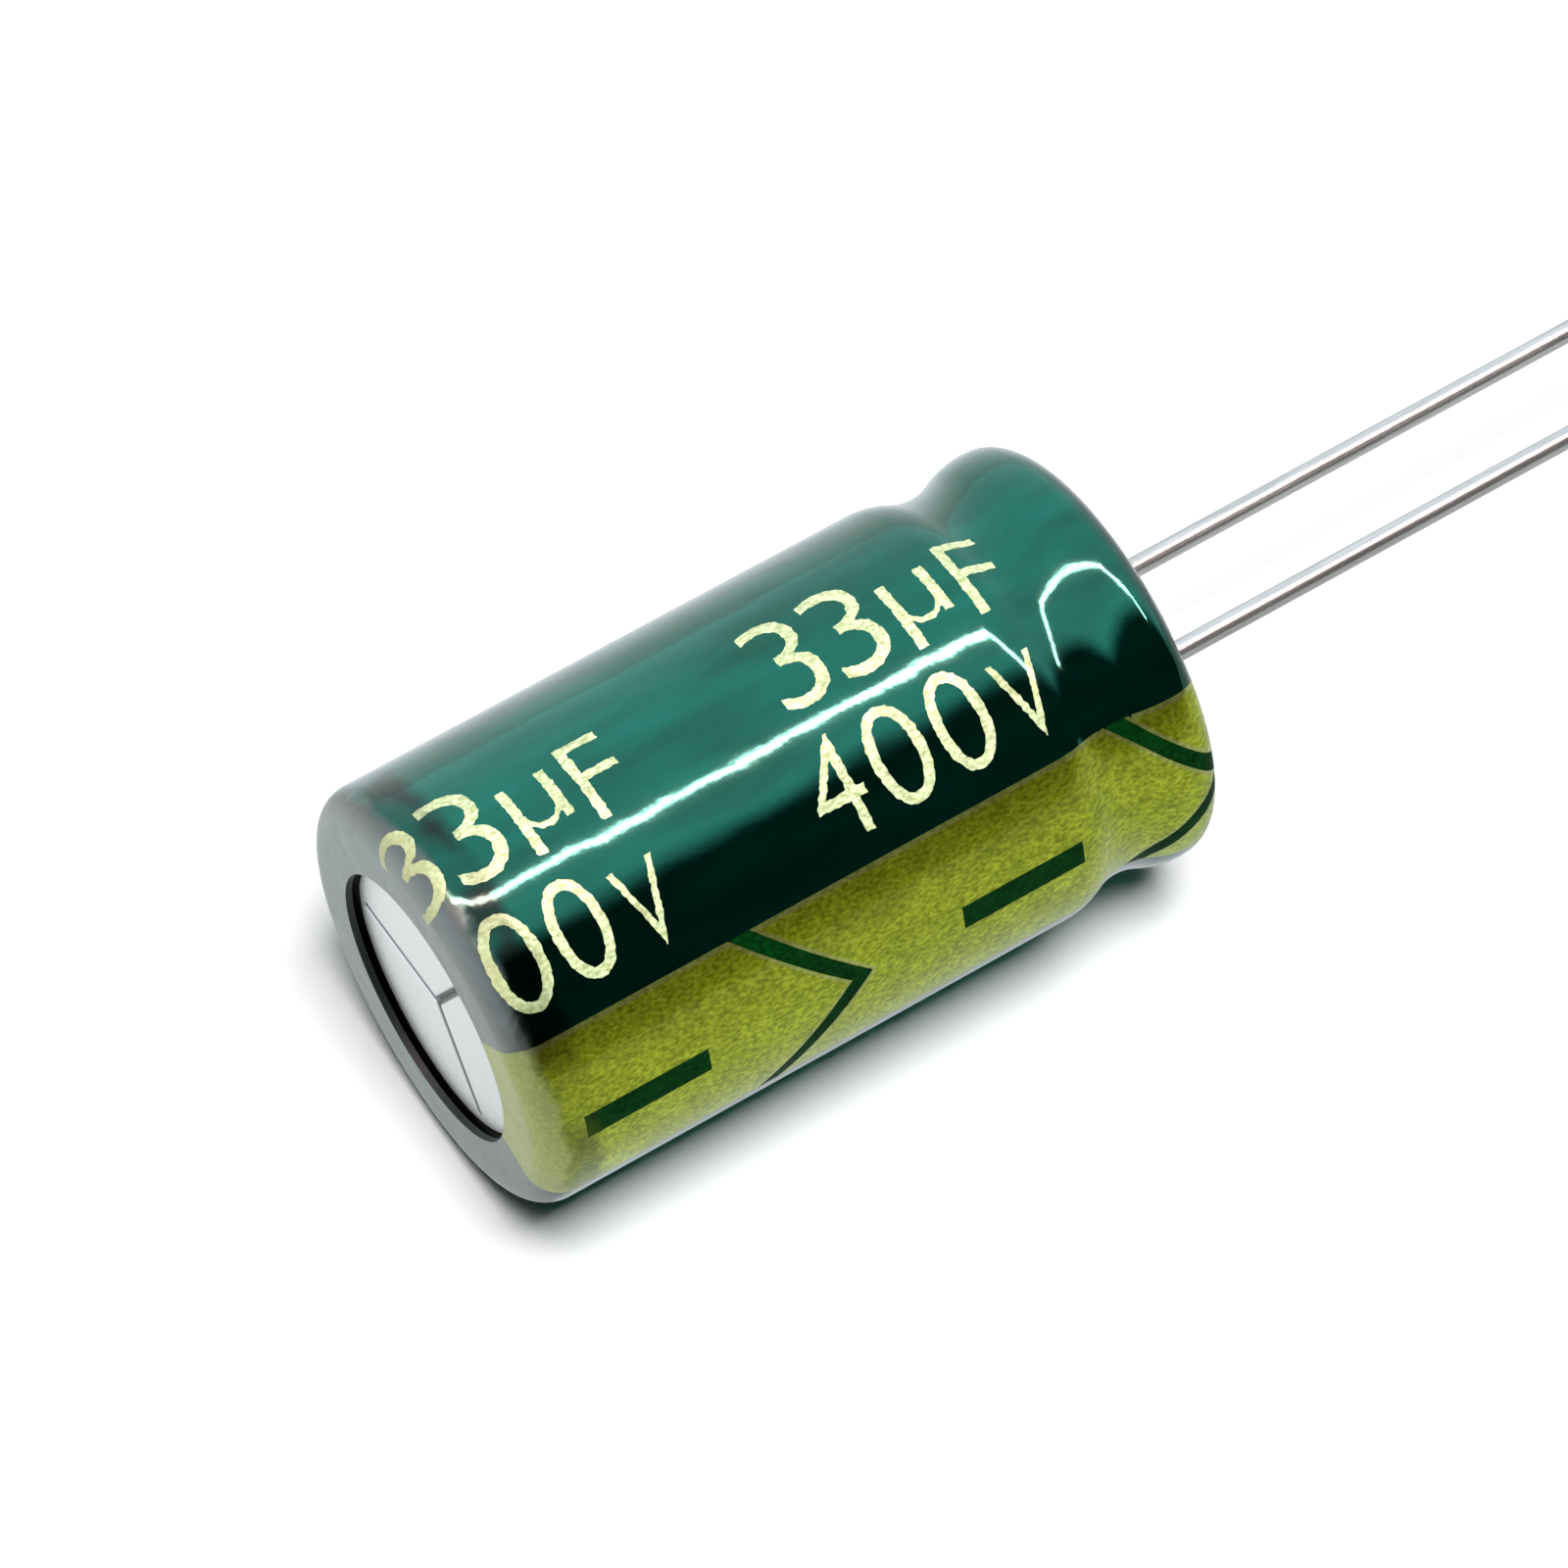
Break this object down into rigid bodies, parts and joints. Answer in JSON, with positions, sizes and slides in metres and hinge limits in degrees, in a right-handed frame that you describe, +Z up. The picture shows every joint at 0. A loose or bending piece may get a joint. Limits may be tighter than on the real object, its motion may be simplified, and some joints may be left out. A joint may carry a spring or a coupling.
{
  "type": "electrolytic capacitor",
  "caption": "Radial electrolytic capacitor: a beaded aluminium can in a green shrink sleeve with a gold polarity stripe, a scored vent, a rubber bung and two long tinned leads.",
  "frame": {"origin": "on the can's axis, in the plane where the sleeve's lower lip meets a board", "axes": "+Z up the can toward the scored vent, leads pointing down; the cathode lead at -Y and the anode lead at +Y"},
  "size_m": [0.0104, 0.0104, 0.038],
  "materials": {
    "sleeve": "glossy heat-shrunk PVC film, dark green",
    "stripe_ink": "gold-green gravure ink under the film's gloss",
    "can_aluminium": "deep-drawn, satin",
    "bung_rubber": "moulded, matt black",
    "tinned_wire": "bright tinned, drawn",
    "tab_aluminium": "pressed",
    "anode_foil": "etched, matt grey",
    "cathode_foil": "lightly etched",
    "separator_paper": "soaked kraft tissue",
    "closing_tape": "amber film tape"
  },
  "bodies": {
    "root": {"sleeve": "sleeve", "polarity_stripe": "stripe_ink", "can": "can_aluminium", "rubber_bung": "bung_rubber", "anode_lead": "tinned_wire", "cathode_lead": "tinned_wire", "anode_tab": "tab_aluminium", "cathode_tab": "tab_aluminium", "anode_foil": "anode_foil", "cathode_foil": "cathode_foil", "inner_paper": "separator_paper", "outer_paper": "separator_paper", "closing_tape": "closing_tape"}
  },
  "joints": []
}
